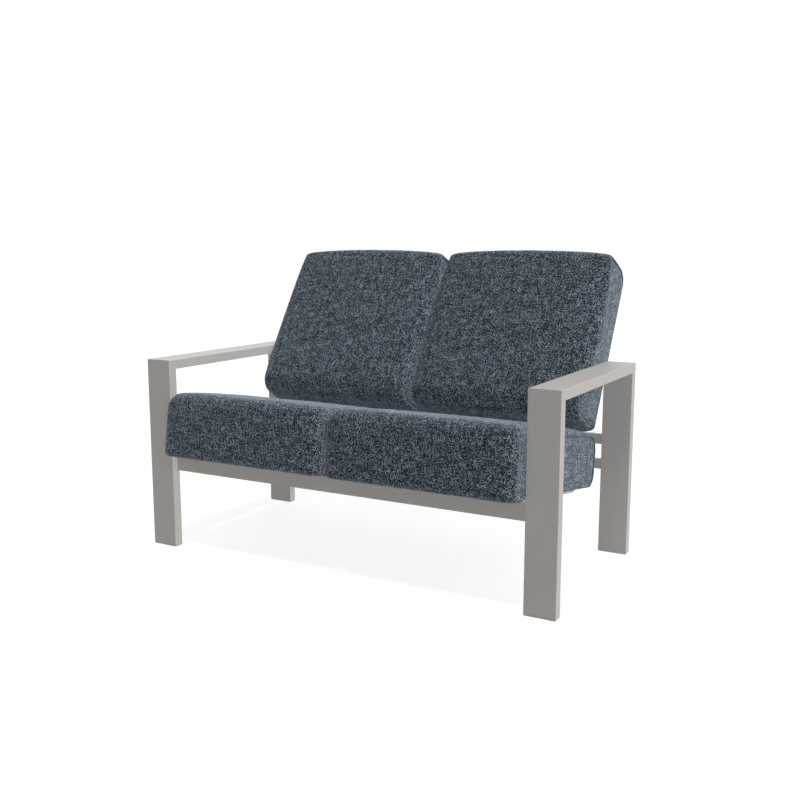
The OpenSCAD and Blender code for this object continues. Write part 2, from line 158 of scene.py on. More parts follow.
def use_group(tree, group, sockets):
    """Places a node group in a material, with its own values."""
    return add(tree, "ShaderNodeGroup", sockets, node_tree=group).outputs


def raise_surface(tree, shader, height, depth, strength):
    """Turns a height into the shader's normal."""
    bump = add(tree, "ShaderNodeBump", {"Height": height, "Distance": depth, "Strength": strength})
    tree.links.new(bump.outputs["Normal"], shader.inputs["Normal"])


# %% [markdown]
# ## The tweed
# The covers are woven from slubby yarns in navy, slate and pale blue-grey, so that close
# up every float of the twill has a shade of its own, and from a step away the cloth reads
# as salt and pepper. A picture of cloth would repeat and isn't needed: the group below
# works out each thread crossing from the cloth's own coordinates, which are metres along
# and across the panel. A shade is drawn for each short stretch of a yarn and for each
# yarn's longer runs, warp and weft lie on top by turns in a two by two twill, and slow
# clouds mottle the whole.

# %% Node group: thread crossings of a twill
FLOAT_CELLS = 2

weave, given, result = start_group(
    "Woven yarns",
    {"Cloth": (VECTOR, None), "Yarn pitch": (FLOAT, 0.0017), "Dark": (COLOUR, (0.02, 0.03, 0.05, 1)),
     "Middle": (COLOUR, (0.06, 0.08, 0.1, 1)), "Accent": (COLOUR, (0.08, 0.08, 0.08, 1)),
     "Pale": (COLOUR, (0.3, 0.35, 0.4, 1)), "Mottle": (FLOAT, 0.2)},
    {"Colour": COLOUR, "Height": FLOAT, "Roughness": FLOAT})
across, along, _ = add(weave, "ShaderNodeSeparateXYZ", {0: given["Cloth"]}).outputs
yarns = [calc(weave, "DIVIDE", place, given["Yarn pitch"]) for place in (across, along)]
cell_x, cell_y = (calc(weave, "FLOOR", place) for place in yarns)
part_x, part_y = (calc(weave, "FRACT", place) for place in yarns)
diagonal = calc(weave, "FLOORED_MODULO", calc(weave, "ADD", cell_x, cell_y), 2 * FLOAT_CELLS)
warp_on_top = calc(weave, "LESS_THAN", diagonal, FLOAT_CELLS)
print("twill:", FLOAT_CELLS, "threads over and", FLOAT_CELLS, "under")

# %% [markdown]
# White noise gives every whole number a fixed random value of its own, so the numbers of
# a yarn and of a stretch along it draw that stretch's shade. Each yarn's stretches start
# a little further on than its neighbour's, or they would line up into bands.

# %% Shades along the yarns
SLUB_CELLS, RUN_CELLS = 2, 26
RUN_SHARE = 0.16
WARP_STAGGER, WEFT_STAGGER = 0.37, 0.61
WARP_DRAW, WEFT_DRAW, RUN_DRAW = 1.5, 7.5, 40


def stretch_noise(lane, place, stagger, cells, offset):
    """Random values, one for each stretch of some cells along a yarn."""
    shifted = calc(weave, "MULTIPLY_ADD", lane, stagger * cells, place)
    stretch = calc(weave, "FLOOR", calc(weave, "DIVIDE", shifted, cells))
    key = add(weave, "ShaderNodeCombineXYZ", {0: lane, 1: stretch, 2: offset}).outputs[0]
    return add(weave, "ShaderNodeTexWhiteNoise", {"Vector": key}, noise_dimensions="3D").outputs


def yarn_shade(lane, place, stagger, offset):
    """Shade and tint of a yarn: short slubs, lifted or lowered by its longer runs."""
    slub = stretch_noise(lane, place, stagger, SLUB_CELLS, offset)
    run = stretch_noise(lane, place, stagger, RUN_CELLS, offset + RUN_DRAW)["Value"]
    lift = calc(weave, "MULTIPLY", calc(weave, "SUBTRACT", run, 0.5), 2 * RUN_SHARE)
    return calc(weave, "ADD", slub["Value"], lift), slub["Color"]


def on_top(warp, weft, data_type):
    """Takes the warp's value where it floats over the weft."""
    first, second = (6, 7) if data_type == "RGBA" else (2, 3)
    made = add(weave, "ShaderNodeMix", {0: warp_on_top, first: weft, second: warp}, data_type=data_type)
    return made.outputs[2 if data_type == "RGBA" else 0]


warp_shade, warp_tint = yarn_shade(cell_x, cell_y, WARP_STAGGER, WARP_DRAW)
weft_shade, weft_tint = yarn_shade(cell_y, cell_x, WEFT_STAGGER, WEFT_DRAW)
print("a slub is", SLUB_CELLS, "crossings long and a run", RUN_CELLS)

# %% Colour, height and roughness of the weave
CLOUDS_PER_METRE, CLOUD_DETAIL = 38.0, 3.0
ACCENT_STEP, DARK_STEP, PALE_STEP = (0.45, 0.75), (0.18, 0.5), (0.67, 1.0)
ROUGHEST_YARN, PALE_YARN_GLOSS = 0.95, 0.15

clouds = add(weave, "ShaderNodeTexNoise",
             {"Vector": given["Cloth"], "Scale": CLOUDS_PER_METRE, "Detail": CLOUD_DETAIL}).outputs[0]
lift = calc(weave, "MULTIPLY", calc(weave, "SUBTRACT", clouds, 0.5), given["Mottle"])
shade = calc(weave, "ADD", on_top(warp_shade, weft_shade, "FLOAT"), lift)
tint = add(weave, "ShaderNodeSeparateColor", {0: on_top(warp_tint, weft_tint, "RGBA")}).outputs[1]
middle = blend_colours(weave, ramp_between(weave, tint, *ACCENT_STEP), given["Middle"], given["Accent"])
darker = blend_colours(weave, ramp_between(weave, shade, *DARK_STEP), given["Dark"], middle)
mixed = blend_colours(weave, ramp_between(weave, shade, *PALE_STEP), darker, given["Pale"])
round_warp = calc(weave, "SINE", calc(weave, "MULTIPLY", part_x, math.pi))
round_weft = calc(weave, "SINE", calc(weave, "MULTIPLY", part_y, math.pi))
weave.links.new(mixed, result["Colour"])
weave.links.new(on_top(round_warp, round_weft, "FLOAT"), result["Height"])
gloss = calc(weave, "MULTIPLY_ADD", shade, -PALE_YARN_GLOSS, ROUGHEST_YARN)
weave.links.new(gloss, result["Roughness"])
print("weave group:", len(weave.nodes), "nodes")

# %% [markdown]
# ## Fine grain
# Powder coat, moulded nylon and cut foam all have an even grain, each at its own scale.
# One group mixes two sizes of noise in the piece's own space, so the grain needs no
# unwrapping and stays on the piece when it moves.

# %% Node group: an even grain
GRAIN_DETAIL, GRAIN_ROUGHNESS = 2.0, 0.6
CLOUDS_ON_PAINT = 9.0
GRAIN_STEP = (0.3, 0.7)

grain, given, result = start_group(
    "Even grain", {"Grains per metre": (FLOAT, 900.0), "Cloudiness": (FLOAT, 0.3)},
    {"Mask": FLOAT, "Height": FLOAT})
place = add(grain, "ShaderNodeTexCoord").outputs["Object"]
fine = add(grain, "ShaderNodeTexNoise", {
    "Vector": place, "Scale": given["Grains per metre"], "Detail": GRAIN_DETAIL,
    "Roughness": GRAIN_ROUGHNESS}).outputs[0]
broad = add(grain, "ShaderNodeTexNoise",
            {"Vector": place, "Scale": CLOUDS_ON_PAINT, "Detail": GRAIN_DETAIL}).outputs[0]
share = add(grain, "ShaderNodeMix", {0: given["Cloudiness"], 2: fine, 3: broad}).outputs[0]
grain.links.new(ramp_between(grain, share, *GRAIN_STEP), result["Mask"])
grain.links.new(fine, result["Height"])
print("grain group:", len(grain.nodes), "nodes")

# %% [markdown]
# ## Finishes
# The frame is aluminium tube under a satin powder coat in a warm light grey. The coat has
# a fine orange peel and no metal shows through it, so Metallic stays at 0. The foot caps
# and end plugs are nylon moulded in the same colour, a little more matt. Foam, the zip's
# plastic and its thread have the same kind of grain, so one function makes all five.

# %% Painted, moulded, foamed and spun materials
COAT_COLOURS = (0.455, 0.435, 0.415, 1), (0.415, 0.395, 0.375, 1)
NYLON_COLOURS = (0.42, 0.405, 0.39, 1), (0.38, 0.365, 0.35, 1)
FOAM_COLOURS = (0.85, 0.78, 0.58, 1), (0.62, 0.55, 0.38, 1)
ZIP_COLOURS = (0.03, 0.035, 0.045, 1), (0.02, 0.024, 0.03, 1)
THREAD_COLOURS = (0.07, 0.085, 0.105, 1), (0.045, 0.055, 0.07, 1)
GRAIN_RELIEF = 0.35


def grained_material(name, colours, grains, roughness, depth, specular=0.5):
    """An even grain in the surface's colour (pale, deep), roughness (low, high) and height."""
    material, tree, shader = start_material(name)
    mask, height = use_group(tree, grain, {"Grains per metre": grains})
    pale, deep = colours
    tree.links.new(blend_colours(tree, mask, deep, pale), shader.inputs["Base Color"])
    low, high = roughness
    tree.links.new(calc(tree, "MULTIPLY_ADD", mask, high - low, low), shader.inputs["Roughness"])
    raise_surface(tree, shader, height, depth, GRAIN_RELIEF)
    shader.inputs["Specular IOR Level"].default_value = specular
    return material


powder_coat = grained_material(
    "powder coat", COAT_COLOURS, grains=700.0, roughness=(0.42, 0.55), depth=0.0002, specular=0.3)
nylon = grained_material(
    "moulded nylon", NYLON_COLOURS, grains=1500.0, roughness=(0.55, 0.7), depth=0.0001, specular=0.3)
foam = grained_material("cut foam", FOAM_COLOURS, grains=600.0, roughness=(0.9, 1.0), depth=0.001)
zip_plastic = grained_material(
    "zip plastic", ZIP_COLOURS, grains=2000.0, roughness=(0.4, 0.5), depth=0.0001)
thread = grained_material(
    "sewing thread", THREAD_COLOURS, grains=4000.0, roughness=(0.6, 0.8), depth=0.0001)
print("grained:", ", ".join(m.name for m in (powder_coat, nylon, foam, zip_plastic, thread)))

# %% [markdown]
# Two kinds of painted light change the cloth's colour beside its yarns. A painted sheen
# lifts the colour where the cloth is seen at a slant, as a nap catches light, and painted
# shade darkens a line along each seam, where the cloth turns inwards. The covers carry their
# distance from the seam as a value on each point, so the painted shade has the same width
# everywhere. The zips' tape is the same weave, finer and nearly plain.

# %% Woven materials
FROM_SEAM = "from_seam"
SEAM_SHADE_REACH = 0.0048
WEAVE_RELIEF, CLOTH_SPECULAR = 0.5, 0.15


def cloth_material(name, colours, pitch, mottle, depth, painted_sheen=0.0, seam_shade=0.0):
    """Woven cloth with the yarn group's colour, roughness and relief, a painted sheen at a slant and painted
    shade along its seams.
    """
    material, tree, shader = start_material(name)
    cloth = add(tree, "ShaderNodeUVMap", uv_map="cloth").outputs["UV"]
    made = use_group(tree, weave, {"Cloth": cloth, "Yarn pitch": pitch, "Mottle": mottle, **colours})
    # painted sheen: the colour is lifted where the surface is seen at a slant
    slant = add(tree, "ShaderNodeLayerWeight", {"Blend": 0.5}).outputs["Facing"]
    lift = calc(tree, "MULTIPLY_ADD", calc(tree, "MULTIPLY", slant, slant), painted_sheen, 1.0)
    # painted shade: the colour is darkened within a few millimetres of each seam
    from_seam = add(tree, "ShaderNodeAttribute", attribute_name=FROM_SEAM).outputs["Fac"]
    in_seam = ramp_between(tree, from_seam, SEAM_SHADE_REACH, 0.0)
    lift = calc(tree, "MULTIPLY", lift, calc(tree, "MULTIPLY_ADD", in_seam, -seam_shade, 1.0))
    with_painted_light = add(tree, "ShaderNodeVectorMath", {0: made["Colour"], "Scale": lift}, operation="SCALE")
    tree.links.new(with_painted_light.outputs[0], shader.inputs["Base Color"])
    tree.links.new(made["Roughness"], shader.inputs["Roughness"])
    raise_surface(tree, shader, made["Height"], depth, WEAVE_RELIEF)
    shader.inputs["Specular IOR Level"].default_value = CLOTH_SPECULAR
    return material, shader


TWEED_YARNS = {"Dark": (0.002, 0.004, 0.006, 1), "Middle": (0.018, 0.031, 0.047, 1),
               "Accent": (0.032, 0.039, 0.044, 1), "Pale": (0.385, 0.455, 0.54, 1)}
TAPE_YARNS = {"Dark": (0.015, 0.02, 0.028, 1), "Middle": (0.02, 0.026, 0.036, 1),
              "Accent": (0.022, 0.026, 0.034, 1), "Pale": (0.03, 0.038, 0.05, 1)}
TWEED_SHEEN = {"Sheen Weight": 0.35, "Sheen Roughness": 0.35, "Sheen Tint": (0.86, 0.93, 1.0, 1)}

# the tweed gets a painted sheen of 1.2 and a painted seam shade of 0.7
tweed, tweed_shader = cloth_material(
    "slate tweed", TWEED_YARNS, pitch=0.0013, mottle=0.4, depth=0.0005, painted_sheen=1.2, seam_shade=0.7)
for socket, value in TWEED_SHEEN.items():
    tweed_shader.inputs[socket].default_value = value
zip_tape, _ = cloth_material("zip tape", TAPE_YARNS, pitch=0.0006, mottle=0.1, depth=0.0002)
print("woven:", tweed.name, "and", zip_tape.name)

# %% [markdown]
# ## Dress the frame
# The CAD shapes of the tubes, caps, rails and slats are right, so they stay and only get
# their finish.

# %% Give each frame node its finish
REPLACED = ("_cover", "_core", "_zip", "weld_beads")
for name, node in frame["nodes"].items():
    if name.endswith(REPLACED):
        continue
    finish = nylon if name.endswith("_foot_cap") or name == "end_plugs" else powder_coat
    node.data.materials.clear()
    node.data.materials.append(finish)
print("dressed", sum(not n.endswith(REPLACED) for n in frame["nodes"]), "frame nodes")

# %% [markdown]
# ## Weld beads
# Each rail is welded to the legs above, below and on its front. A weld is laid in small
# overlapping pools, so its fillet is a row of ripples under the powder coat. Each bead is a
# fan of points between the two faces it joins, swept along the joint and made thicker and
# thinner by a sine.

# %% Helpers for meshes, and one weld bead
WELD_LEG, WELD_HOLLOW = 0.005, 0.22
WELD_RIPPLE, RIPPLE_STEP = 0.0004, 0.0022
RINGS_PER_RIPPLE = 6
FAN_STEPS = 5


def to_object(name, mesh, *materials):
    """Makes an object of a mesh and puts it in the scene."""
    data = bpy.data.meshes.new(name)
    mesh.to_mesh(data)
    for material in materials:
        data.materials.append(material)
    made = bpy.data.objects.new(name, data)
    scene.collection.objects.link(made)
    return made


def join_rings(mesh, rings):
    """Quads between each ring of points and the next."""
    for a, b in zip(rings, rings[1:]):
        for i in range(len(a)):
            j = (i + 1) % len(a)
            mesh.faces.new((a[i], a[j], b[j], b[i]))


def weld_bead(mesh, start, end, first, second):
    """A rippled fillet from start to end, between a face along first and a face along second."""
    count = round((end - start).length / RIPPLE_STEP * RINGS_PER_RIPPLE)
    fan = [math.radians(90 * k / FAN_STEPS) for k in range(FAN_STEPS + 1)]
    fillet = [(first * math.cos(a) + second * math.sin(a), 1 - WELD_HOLLOW * math.sin(2 * a)) for a in fan]
    rings = []
    for step in range(count + 1):
        leg = WELD_LEG - WELD_RIPPLE * (1 - abs(math.sin(math.pi * step / RINGS_PER_RIPPLE)))
        corner = start.lerp(end, step / count)
        spots = [corner + away * leg * share for away, share in fillet]
        rings.append([mesh.verts.new(p) for p in [corner, *spots]])
    join_rings(mesh, rings)
    mesh.faces.new(rings[0][::-1])
    mesh.faces.new(rings[-1])


# %% Lay the weld beads
EDGE_RADIUS = 0.0016

beads = bmesh.new()
for rail in ("front_rail", "rear_lower_rail", "rear_upper_rail"):
    low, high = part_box(rail)
    for x, away in ((low.x, Vector((1, 0, 0))), (high.x, Vector((-1, 0, 0)))):
        for z, up in ((low.z, Vector((0, 0, -1))), (high.z, Vector((0, 0, 1)))):
            weld_bead(beads, Vector((x, low.y + EDGE_RADIUS, z)), Vector((x, high.y, z)), away, up)
        weld_bead(beads, Vector((x, low.y, low.z + EDGE_RADIUS)), Vector((x, low.y, high.z - EDGE_RADIUS)),
                  away, Vector((0, -1, 0)))
bmesh.ops.recalc_face_normals(beads, faces=beads.faces)
welds = to_object("weld_fillets", beads, powder_coat)
beads.free()
welds.data.shade_smooth()
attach(welds, "frame")
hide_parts("weld_beads")
print("weld beads:", len(welds.data.vertices), "points")

# %% [markdown]
# ## Where the cushions lie
# The seat slats' tops give the seat plane and the back slats' fronts give the back plane,
# and the cushions' own slide joints give both slopes. A place on a cushion is written as
# (across, depth, up): for a seat, depth runs rearwards along the plane and up is square
# to it; for a back, depth runs rearwards through the cushion and up climbs the recline.

# %% Planes of the seat and the back
SLAT_THICK = 0.005
slopes = {joint["name"]: joint["axis"] for joint in frame["joints"]}
PITCH = math.asin(slopes["left_seat_cushion_slide"][2])
RECLINE = math.asin(slopes["left_back_cushion_lift"][1])


class Plane:
    """A cushion's own place: an origin in the side view and two directions, depth and up."""

    def __init__(self, origin, depth, up):
        self.origin, self.depth, self.up = Vector(origin), Vector(depth), Vector(up)

    def place(self, across, depth, up):
        y, z = self.origin + self.depth * depth + self.up * up
        return Vector((across, y, z))


seat_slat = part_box("left_seat_slat_1")
back_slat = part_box("left_back_slat_1")
front_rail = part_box("front_rail")
seat_top_edge = Vector((seat_slat[0].y + SLAT_THICK * math.sin(PITCH), seat_slat[1].z))
seat_along, seat_up = (math.cos(PITCH), -math.sin(PITCH)), (math.sin(PITCH), math.cos(PITCH))
rail_gap = (seat_top_edge.x - front_rail[0].y) / math.cos(PITCH)
seat_plane = Plane(seat_top_edge - Vector(seat_along) * rail_gap, seat_along, seat_up)
back_in, back_up = (math.cos(RECLINE), -math.sin(RECLINE)), (math.sin(RECLINE), math.cos(RECLINE))
back_plane = Plane((back_slat[0].y, back_slat[0].z + SLAT_THICK * math.sin(RECLINE)), back_in, back_up)
print("pitch", round(math.degrees(PITCH), 2), "recline", round(math.degrees(RECLINE), 2))

# %% [markdown]
# ## Cushion outlines
# Each cushion is sewn from a long wrap and two side panels. Its side view is drawn twice:
# once through the crown, where it is fullest, and once at the side seam. Both are closed
# outlines with rounded corners and slightly bowed edges, with the same number of points,
# so that a section anywhere between them is a mix of the two.

# %% Rounded outlines
ARC_STEPS = 8
BOW_POWER = 2.4


def corner_arc(before, corner, after, radius):
    """Points of a rounded corner."""
    to_before, to_after = (before - corner).normalized(), (after - corner).normalized()
    half = to_before.angle(to_after) / 2
    centre = corner + (to_before + to_after).normalized() * radius / math.sin(half)
    first = corner + to_before * radius / math.tan(half) - centre
    last = corner + to_after * radius / math.tan(half) - centre
    start = math.atan2(first.y, first.x)
    turn = (math.atan2(last.y, last.x) - start + math.pi) % math.tau - math.pi
    angles = (start + turn * step / ARC_STEPS for step in range(ARC_STEPS + 1))
    return [centre + radius * Vector((math.cos(a), math.sin(a))) for a in angles]


def even(parts):
    """Shares that cut an edge into even parts."""
    return [step / parts for step in range(1, parts)]


def edge_points(first, last, bow, shares):
    """Points between the ends of an edge, bowed outwards."""
    outwards = Vector((last.y - first.y, first.x - last.x)).normalized()
    return [first.lerp(last, s) + outwards * bow * (1 - abs(2 * s - 1) ** BOW_POWER) for s in shares]


def rounded_outline(corners):
    """A closed outline from corners (depth, up, radius, bow of the next edge, shares along that edge)."""
    spots = [Vector(corner[:2]) for corner in corners]
    arcs = [corner_arc(spots[i - 1], spots[i], spots[(i + 1) % len(spots)], corner[2])
            for i, corner in enumerate(corners)]
    points = []
    for i, (_, _, _, bow, shares) in enumerate(corners):
        points += arcs[i] + edge_points(arcs[i][-1], arcs[(i + 1) % len(arcs)][0], bow, shares)
    return points


# %% [markdown]
# The sizes below are those of the CAD solids, in metres. The seat cushion is 202 mm thick
# at its front and thinner under the back cushion. The back cushion is fullest low down,
# and its crown stands 3 mm higher here than the plain solid's. Each corner is written as
# its depth, its height, its radius, the bow of the edge after it, and where that edge's
# points lie. They lie closer together where the zip's groove will be.

# %% Sizes of both kinds of cushion
REST_GAP = 0.0003
seat_box, back_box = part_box("right_seat_cover"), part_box("right_back_cover")
CUSHION_WIDTH = seat_box[1].x - seat_box[0].x
SEAT_FRONT, SEAT_REAR = -0.078, 0.5844
SEAT_THICK, SEAT_REAR_DROP, SEAT_BOW = 0.202, 0.034, 0.007
SEAT_SIDE_IN, SEAT_SIDE_UNDER, SEAT_SIDE_HEIGHT, SEAT_SIDE_BOW = 0.028, 0.004, 0.160, 0.006
CROWN_LIFT = 0.003
BACK_HEIGHT, BACK_THICK, BACK_TOP_THICK, BACK_TOP_BOW = 0.571, 0.168, 0.142, 0.004
BACK_HEEL, BACK_TOP_RADIUS = 0.014, 0.040
BACK_SIDE_THICK, BACK_SIDE_TOP_THICK, BACK_SIDE_DRAW = 0.141, 0.126, 0.007
BACK_SIDE_TOP, BACK_SIDE_FOOT, BACK_SIDE_REAR = 0.025, 0.017, 0.005
SEAT_ZIP_UP, BACK_ZIP_UP = SEAT_SIDE_HEIGHT / 2, 0.060
LENGTHWAYS, UPRIGHT_FRONT, SHORT_REAR = even(44), even(12), even(24)
BACK_FRONT, TOP_OF_BACK = even(40), even(8)
CLOSE_STEP, CLOSE_COUNT, CLOSE_REACH = 0.0028, 6, 0.022
zip_share = (BACK_ZIP_UP - BACK_HEEL) / (BACK_HEIGHT - BACK_TOP_BOW - BACK_TOP_RADIUS - BACK_HEEL)
beside_zip = [s for s in BACK_FRONT if abs(s - zip_share) > CLOSE_REACH]
at_zip = [zip_share + CLOSE_STEP * step for step in range(-CLOSE_COUNT, CLOSE_COUNT + 1)]
BACK_REAR = sorted(beside_zip + at_zip)
print("zip at", round(zip_share, 3), "of the back cushion's rear edge")

# %% Outlines of both kinds of cushion
seat_side_top, back_top = SEAT_SIDE_HEIGHT - SEAT_SIDE_BOW, BACK_HEIGHT + CROWN_LIFT - BACK_TOP_BOW
back_side_top = BACK_HEIGHT - BACK_SIDE_TOP

seat_crown = rounded_outline([
    (SEAT_FRONT, REST_GAP, 0.020, 0, LENGTHWAYS), (SEAT_REAR, REST_GAP, 0.052, 0, SHORT_REAR),
    (SEAT_REAR, SEAT_THICK - SEAT_REAR_DROP, 0.080, SEAT_BOW, LENGTHWAYS),
    (SEAT_FRONT, SEAT_THICK - SEAT_BOW / 2, 0.040, 0, UPRIGHT_FRONT)])
seat_side = rounded_outline([
    (SEAT_FRONT + SEAT_SIDE_IN, SEAT_SIDE_UNDER, 0.012, 0, LENGTHWAYS),
    (SEAT_REAR - SEAT_SIDE_IN, SEAT_SIDE_UNDER, 0.034, 0, SHORT_REAR),
    (SEAT_REAR - SEAT_SIDE_IN, seat_side_top, 0.042, SEAT_SIDE_BOW, LENGTHWAYS),
    (SEAT_FRONT + SEAT_SIDE_IN, seat_side_top, 0.024, 0, UPRIGHT_FRONT)])
back_crown = rounded_outline([
    (-BACK_THICK, 0, 0.050, 0, TOP_OF_BACK),
    (-REST_GAP, 0, BACK_HEEL, 0, BACK_REAR),
    (-REST_GAP, back_top, BACK_TOP_RADIUS, BACK_TOP_BOW, TOP_OF_BACK),
    (-BACK_TOP_THICK, back_top, 0.026, 0, BACK_FRONT)])
back_side = rounded_outline([
    (-BACK_SIDE_THICK, BACK_SIDE_FOOT, 0.036, 0, TOP_OF_BACK),
    (-BACK_SIDE_REAR, BACK_SIDE_FOOT, 0.014, 0, BACK_REAR),
    (-BACK_SIDE_REAR, back_side_top, 0.046, 0, TOP_OF_BACK),
    (-BACK_SIDE_TOP_THICK, back_side_top, 0.010, -BACK_SIDE_DRAW, BACK_FRONT)])
print("points round a seat and a back cushion:", len(seat_crown), len(back_crown))

# %% [markdown]
# ## Loft a cushion
# Across its width a cushion is nearly flat and falls away a little towards the sides. Then
# it turns round a soft edge and runs down the side to the seam. A station says how far
# across a section lies and how far it has fallen from the crown's outline to the seam's.
# The two side panels close the form, with a slight bulge.

# %% Sections between crown and seam
FLAT_STEP = 0.013
CROWN_FALL, CROWN_POWER = 0.12, 6
EDGE_RADIUS_ACROSS, EDGE_FALL = 0.036, 0.70
EDGE_STEPS, SIDE_STEPS = 8, 3


def half_stations(half_width):
    """Stations from the crown at (0, 0) to the seam at (1, 1)."""
    def crown_fall(f):
        return CROWN_FALL * f ** CROWN_POWER

    edge_start = 1 - EDGE_RADIUS_ACROSS / half_width
    count = math.ceil(edge_start * half_width / FLAT_STEP)
    stations = [(f, crown_fall(f)) for f in (edge_start * k / count for k in range(count))]
    for step in range(EDGE_STEPS + 1):
        angle = math.pi / 2 * step / EDGE_STEPS
        f = edge_start + (1 - edge_start) * math.sin(angle)
        stations.append((f, crown_fall(f) + (1 - CROWN_FALL) * EDGE_FALL * (1 - math.cos(angle))))
    edge_end = stations[-1][1]
    stations += [(1.0, edge_end + (1 - edge_end) * k / SIDE_STEPS) for k in range(1, SIDE_STEPS + 1)]
    return stations


# %% [markdown]
# The seams of a filled cushion aren't straight. The stuffing pulls the cloth round, so
# both ends are drawn in across by end_draw, and at the top of a back cushion a share of
# the fall, its arch, is spread over the whole width.

# %% The form of a sewn cushion
SIDE_BULGE = 0.002
DRAW_POWER = 3


class Cushion:
    """The sewn form of one kind of cushion: its plane and the rings of points round its wrap."""

    def __init__(self, plane, crown, side, arch, end_draw, long_axis):
        self.plane = plane
        self.half = CUSHION_WIDTH / 2
        self.seam = self.half - SIDE_BULGE
        low = [min(p[k] for p in side) for k in (0, 1)]
        high = [max(p[k] for p in side) for k in (0, 1)]
        self.middle = (Vector(low) + Vector(high)) / 2
        reach = (high[long_axis] - low[long_axis]) / 2
        self.draw = [end_draw * (abs(p[long_axis] - self.middle[long_axis]) / reach) ** DRAW_POWER
                     * (high[0] - p.x) / (high[0] - low[0]) for p in side]
        self.even = [arch * (p.y - low[1]) / (high[1] - low[1]) for p in side]
        self.crown, self.side = crown, side
        half = half_stations(self.seam)
        self.stations = [(-f, fall) for f, fall in reversed(half[1:])] + half
        self.size = len(crown)
        self.rings = [[self.point(f, fall, i) for i in range(self.size)] for f, fall in self.stations]

    def point(self, f, fall, i):
        """A point of the wrap at f of the way to a seam: (across, depth, up)."""
        spot = self.crown[i].lerp(self.side[i], self.even[i] * f * f + (1 - self.even[i]) * fall)
        return Vector((f * (self.seam - self.draw[i] * f * f), spot.x, spot.y))

    def girth(self):
        """Distance round the crown to each of its points."""
        walked = [0.0]
        for i in range(self.size):
            walked.append(walked[-1] + (self.crown[(i + 1) % self.size] - self.crown[i]).length)
        return walked

    def span(self):
        """Distance along the cloth from the left seam to each point of each ring."""
        walked = [[0.0] * self.size]
        for a, b in zip(self.rings, self.rings[1:]):
            walked.append([w + (q - p).length for w, p, q in zip(walked[-1], a, b)])
        return walked


seat_form = Cushion(seat_plane, seat_crown, seat_side, arch=0, end_draw=0.003, long_axis=0)
back_form = Cushion(back_plane, back_crown, back_side, arch=0.55, end_draw=0.015, long_axis=1)
print("sections:", len(seat_form.stations), len(back_form.stations))

# %% [markdown]
# The rings become a mesh in the cushion's own space. Its cloth coordinates are distances
# walked on the cloth, in metres, so that the weave keeps its scale round every edge.

# %% Mesh of a cushion
PANEL_RINGS = (0.94, 0.84, 0.68, 0.48, 0.24)


def loft(form):
    """A closed mesh of the wrap and both side panels."""
    mesh = bmesh.new()
    cloth = mesh.loops.layers.uv.new("cloth")
    from_seam = mesh.verts.layers.float.new(FROM_SEAM)
    girth, span = form.girth(), form.span()
    rings = [[mesh.verts.new(co) for co in ring] for ring in form.rings]
    for ring, walked in zip(rings, span):
        for vert, near, whole in zip(ring, walked, span[-1]):
            vert[from_seam] = min(near, whole - near)
    for k, (a, b) in enumerate(zip(rings, rings[1:])):
        for i in range(form.size):
            j = (i + 1) % form.size
            face = mesh.faces.new((a[i], b[i], b[j], a[j]))
            spots = ((span[k][i], girth[i]), (span[k + 1][i], girth[i]),
                     (span[k + 1][j], girth[i + 1]), (span[k][j], girth[i + 1]))
            for loop, spot in zip(face.loops, spots):
                loop[cloth].uv = spot
    for sign, rim in ((-1, rings[0]), (1, rings[-1])):
        close_side(mesh, cloth, form, sign, rim)
    return mesh


def close_side(mesh, cloth, form, sign, rim):
    """Closes one side with rings that shrink to a middle point and bulge a little."""
    from_seam = mesh.verts.layers.float[FROM_SEAM]
    outer = rim
    for share in PANEL_RINGS:
        across = sign * (form.seam + SIDE_BULGE * (1 - share ** 2))
        inner = []
        for i, vert in enumerate(rim):
            spot = form.middle.lerp(Vector((vert.co.y, vert.co.z)), share)
            edge_in = (1 - share ** 2) * across + share ** 2 * vert.co.x
            inner.append(mesh.verts.new((edge_in, spot.x, spot.y)))
            inner[-1][from_seam] = (inner[-1].co - vert.co).length
        panel_band(mesh, cloth, sign, outer, inner)
        outer = inner
    tip = mesh.verts.new((sign * form.half, *form.middle))
    tip[from_seam] = (tip.co - rim[0].co).length
    for i in range(form.size):
        j = (i + 1) % form.size
        corners = (outer[i], outer[j], tip) if sign > 0 else (outer[j], outer[i], tip)
        map_flat(mesh.faces.new(corners), cloth, sign)


def panel_band(mesh, cloth, sign, outer, inner):
    """Faces between two rings of a side panel."""
    for i in range(len(outer)):
        j = (i + 1) % len(outer)
        corners = (outer[i], outer[j], inner[j], inner[i])
        map_flat(mesh.faces.new(corners if sign > 0 else corners[::-1]), cloth, sign)


def map_flat(face, cloth, sign):
    """Cloth coordinates of a side panel: its own depth and height."""
    for loop in face.loops:
        loop[cloth].uv = (loop.vert.co.y + sign, loop.vert.co.z)


# %% [markdown]
# ## Fill the cushions
# A sewn cover looks full because the stuffing pushes it out everywhere but at its seams,
# and it draws in at its corners. The loft is blown up as cloth from inside, with both
# side seams pinned. A free balloon would swell by centimetres, which the foam inside a
# real cushion doesn't allow, so the swelling is scaled down to a few millimetres, and
# none is kept where the cushion lies on something or against its neighbour.

# %% Blow up a cover as cloth
CLOTH_FRAMES = 20
CLOTH_SETTINGS = {"quality": 5, "mass": 0.3, "tension_stiffness": 15, "compression_stiffness": 15,
                  "shear_stiffness": 5, "bending_stiffness": 2.0, "use_pressure": True,
                  "uniform_pressure_force": 4.0, "vertex_group_mass": "seams"}


def normals_of(mesh):
    """A copy of every point's normal."""
    mesh.normal_update()
    return [v.normal.copy() for v in mesh.verts]


def seam_points(form):
    """Numbers of the points on both side seams."""
    last = (len(form.stations) - 1) * form.size
    return {*range(form.size), *range(last, last + form.size)}


